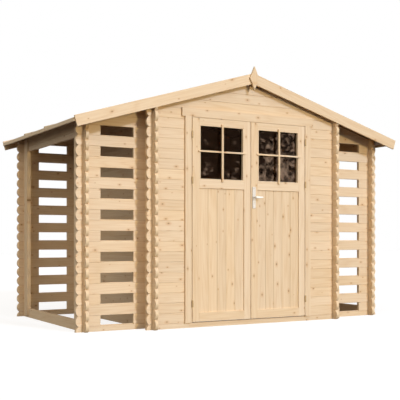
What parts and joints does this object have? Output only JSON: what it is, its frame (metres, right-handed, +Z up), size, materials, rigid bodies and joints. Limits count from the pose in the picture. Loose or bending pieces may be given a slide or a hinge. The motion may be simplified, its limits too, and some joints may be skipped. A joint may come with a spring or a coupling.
{
  "type": "garden cabin with side log stores",
  "caption": "Pine log garden cabin with glazed double doors, an open-sided slotted log store on each side and one low gable roof over all three.",
  "frame": {"origin": "on the ground under the middle of the building", "axes": "+X to the right along the front, +Y from the doors to the rear wall, +Z up"},
  "size_m": [3.394, 2.064, 2.3121],
  "materials": {
    "pine_logs": "planed, untreated",
    "pine_beams": "planed, untreated",
    "pine_trim": "planed, untreated",
    "roof_boards": "sawn, untreated",
    "door_pine": "planed, untreated",
    "window_glass": "clear",
    "zinc_steel": "zinc plated",
    "handle_aluminium": "satin"
  },
  "bodies": {
    "building": {"front_wall_left": "pine_logs", "front_wall_right": "pine_logs", "front_gable": "pine_logs", "threshold_log": "pine_logs", "rear_wall": "pine_logs", "left_side_wall": "pine_logs", "right_side_wall": "pine_logs", "front_left_slats": "pine_logs", "front_left_blocks": "pine_logs", "front_right_slats": "pine_logs", "front_right_blocks": "pine_logs", "rear_left_slats": "pine_logs", "rear_left_blocks": "pine_logs", "rear_right_slats": "pine_logs", "rear_right_blocks": "pine_logs", "front_left_corner_logs": "pine_logs", "front_right_corner_logs": "pine_logs", "rear_left_corner_logs": "pine_logs", "rear_right_corner_logs": "pine_logs", "corner_posts": "pine_beams", "side_sills": "pine_beams", "side_beams": "pine_beams", "header_rails": "pine_beams", "ridge_beam": "pine_beams", "roof_deck_left": "roof_boards", "roof_deck_right": "roof_boards", "roof_battens": "pine_trim", "eave_strips": "pine_trim", "barge_boards_left": "pine_trim", "barge_boards_right": "pine_trim", "finials": "pine_trim", "door_jambs": "pine_trim", "door_head": "pine_trim", "jamb_hinges": "zinc_steel"},
    "left_door": {"left_leaf_frame": "door_pine", "left_leaf_panel": "door_pine", "left_leaf_glass": "window_glass", "left_leaf_hinges": "zinc_steel"},
    "right_door": {"right_leaf_frame": "door_pine", "right_leaf_panel": "door_pine", "right_leaf_glass": "window_glass", "right_leaf_hinges": "zinc_steel", "handle_plate": "handle_aluminium"},
    "lever": {"handle_lever": "handle_aluminium"}
  },
  "joints": [
    {"name": "left_door_hinge", "type": "hinge", "parent": "building", "child": "left_door", "pos_m": [-0.606, -0.9753, 0.9], "axis": [0, 0, -1], "range_deg": [0, 160]},
    {"name": "right_door_hinge", "type": "hinge", "parent": "building", "child": "right_door", "pos_m": [0.606, -0.9753, 0.9], "axis": [0, 0, 1], "range_deg": [0, 160]},
    {"name": "lever_turn", "type": "hinge", "parent": "right_door", "child": "lever", "pos_m": [0.032, -0.98, 1.144], "axis": [0, 1, 0], "range_deg": [0, 40], "stiffness_Nm_per_rad": 1.2, "springref_deg": -20.05}
  ]
}
